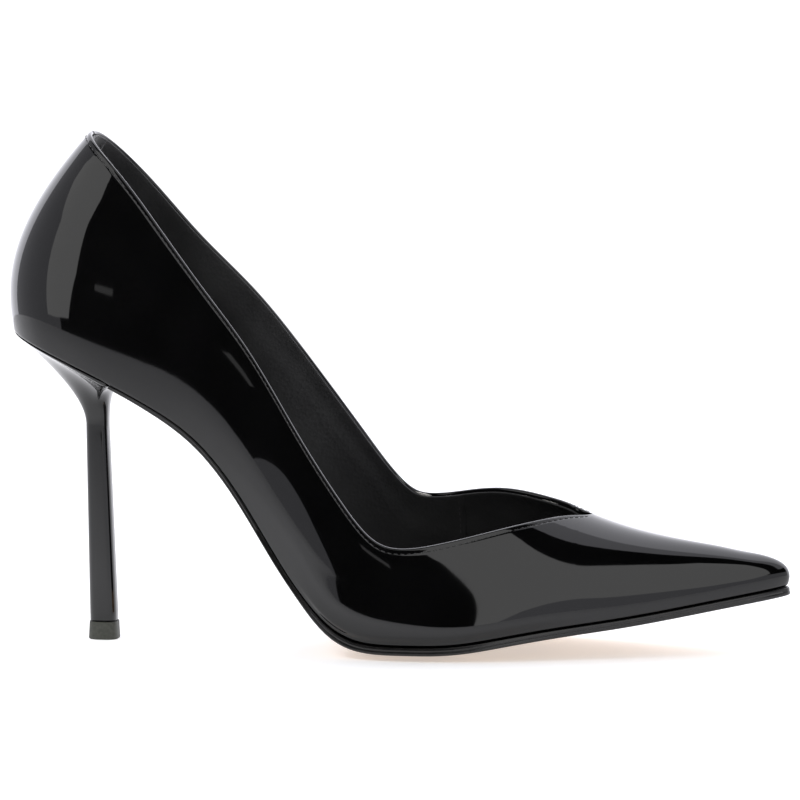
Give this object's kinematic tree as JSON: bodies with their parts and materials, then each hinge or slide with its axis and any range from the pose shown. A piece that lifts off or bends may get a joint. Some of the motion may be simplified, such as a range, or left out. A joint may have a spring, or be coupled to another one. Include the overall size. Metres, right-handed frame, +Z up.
{
  "type": "high heel pump",
  "caption": "Pointed-toe high heel pump for a right foot, with a glossy patent upper, a low-cut vamp, a slim high heel and a small replaceable top piece.",
  "frame": {"origin": "centre of the top piece's ground face, on the floor under the heel", "axes": "+X towards the toe, +Y to the inner (medial) side of the foot, +Z up"},
  "size_m": [0.2542, 0.0753, 0.1659],
  "materials": {
    "patent": "glossy black patent",
    "lining": "matte black",
    "grip": "napped black",
    "stiffener": "matte fibre board",
    "tape": "woven tape",
    "board": "matte cellulose board",
    "filler": "cork composite",
    "foam": "soft foam",
    "sole": "tan tread with black edge",
    "heel_plastic": "moulded",
    "lift": "matte grey-black",
    "steel": "plain steel"
  },
  "bodies": {
    "root": {"upper": "patent", "toe_puff": "stiffener", "heel_counter": "stiffener", "topline_tape": "tape", "vamp_lining": "lining", "quarter_lining_lateral": "lining", "quarter_lining_medial": "lining", "heel_grip": "grip", "insole_board": "board", "shank_board": "board", "steel_shank": "steel", "shank_rivet_rear": "steel", "shank_rivet_front": "steel", "forefoot_filler": "filler", "heel_pad": "foam", "ball_pad": "foam", "sock_liner": "lining", "outsole": "sole", "heel_core": "heel_plastic", "heel_cover": "patent", "heel_pin": "steel", "top_piece": "lift", "top_piece_dowel": "steel", "heel_screw": "steel", "heel_nail_1": "steel", "heel_nail_2": "steel", "heel_nail_3": "steel", "heel_nail_4": "steel"}
  },
  "joints": []
}
